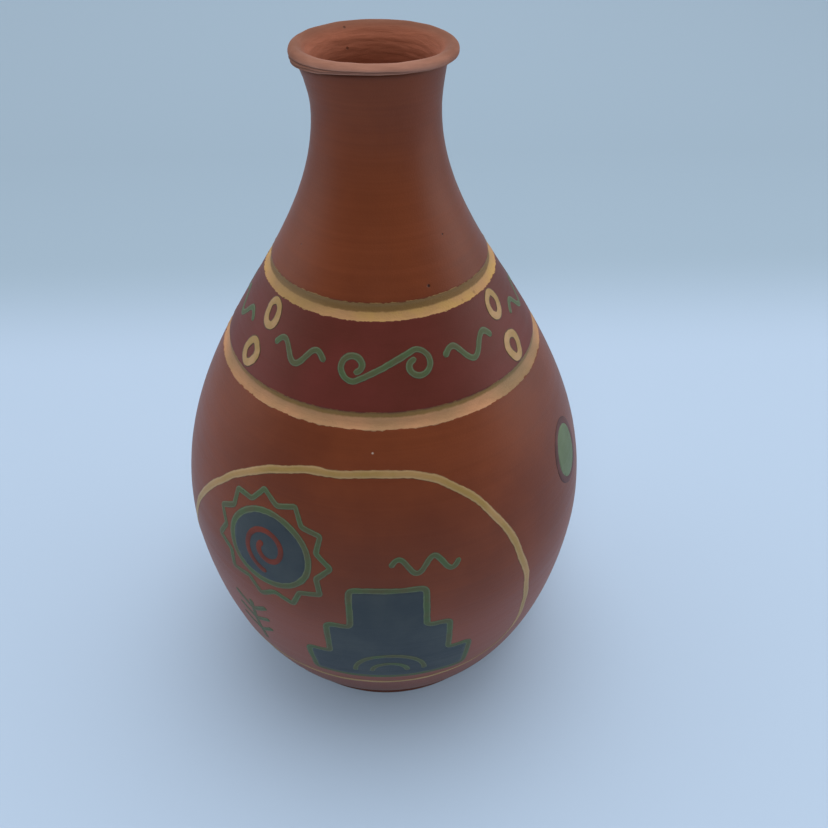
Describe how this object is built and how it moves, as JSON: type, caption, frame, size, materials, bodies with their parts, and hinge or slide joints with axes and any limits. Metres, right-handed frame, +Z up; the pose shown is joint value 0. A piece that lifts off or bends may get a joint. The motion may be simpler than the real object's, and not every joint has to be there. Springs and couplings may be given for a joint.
{
  "type": "terracotta bottle vase",
  "caption": "Round-bellied terracotta bottle vase with a narrow neck, a rolled lip, a painted shoulder band between gold grooves and framed painted panels on the belly.",
  "frame": {"origin": "centre of the flat underside that the vase stands on", "axes": "+Z up along the axis that the vase was thrown about, -Y towards the side that the picture shows, +X to that side's right"},
  "size_m": [0.144, 0.1452, 0.23],
  "materials": {
    "clay": "burnished unglazed terracotta, satin",
    "red_slip": "dark red slip, satin",
    "gold_paint": "ochre gold paint with a soft metallic sheen",
    "green_paint": "grey-green paint, satin",
    "slate_paint": "dark slate-blue paint, satin",
    "red_paint": "brick-red paint, satin"
  },
  "bodies": {
    "root": {"thrown_body": "clay", "lower_gold_band": "gold_paint", "upper_gold_band": "gold_paint", "shoulder_red_slip": "red_slip", "gold_ring_1_upper": "gold_paint", "gold_ring_1_lower": "gold_paint", "green_scroll_1": "green_paint", "green_wave_1_left": "green_paint", "green_wave_1_right": "green_paint", "gold_ring_2_upper": "gold_paint", "gold_ring_2_lower": "gold_paint", "green_scroll_2": "green_paint", "green_wave_2_left": "green_paint", "green_wave_2_right": "green_paint", "gold_ring_3_upper": "gold_paint", "gold_ring_3_lower": "gold_paint", "green_scroll_3": "green_paint", "green_wave_3_left": "green_paint", "green_wave_3_right": "green_paint", "front_gold_frame": "gold_paint", "front_sun_field": "slate_paint", "front_sun_edge": "green_paint", "front_sun_rays": "green_paint", "front_sun_spiral": "red_paint", "front_hill_field": "slate_paint", "front_hill_edge": "green_paint", "front_hill_arch_1": "green_paint", "front_hill_arch_2": "green_paint", "front_plant": "green_paint", "front_ripple": "green_paint", "rear_gold_frame": "gold_paint", "rear_sun_field": "slate_paint", "rear_sun_edge": "green_paint", "rear_sun_rays": "green_paint", "rear_sun_spiral": "red_paint", "rear_hill_field": "slate_paint", "rear_hill_edge": "green_paint", "rear_hill_arch_1": "green_paint", "rear_hill_arch_2": "green_paint", "rear_plant": "green_paint", "rear_ripple": "green_paint", "right_disc_field": "green_paint", "right_disc_edge": "red_slip", "left_disc_field": "green_paint", "left_disc_edge": "red_slip"}
  },
  "joints": []
}
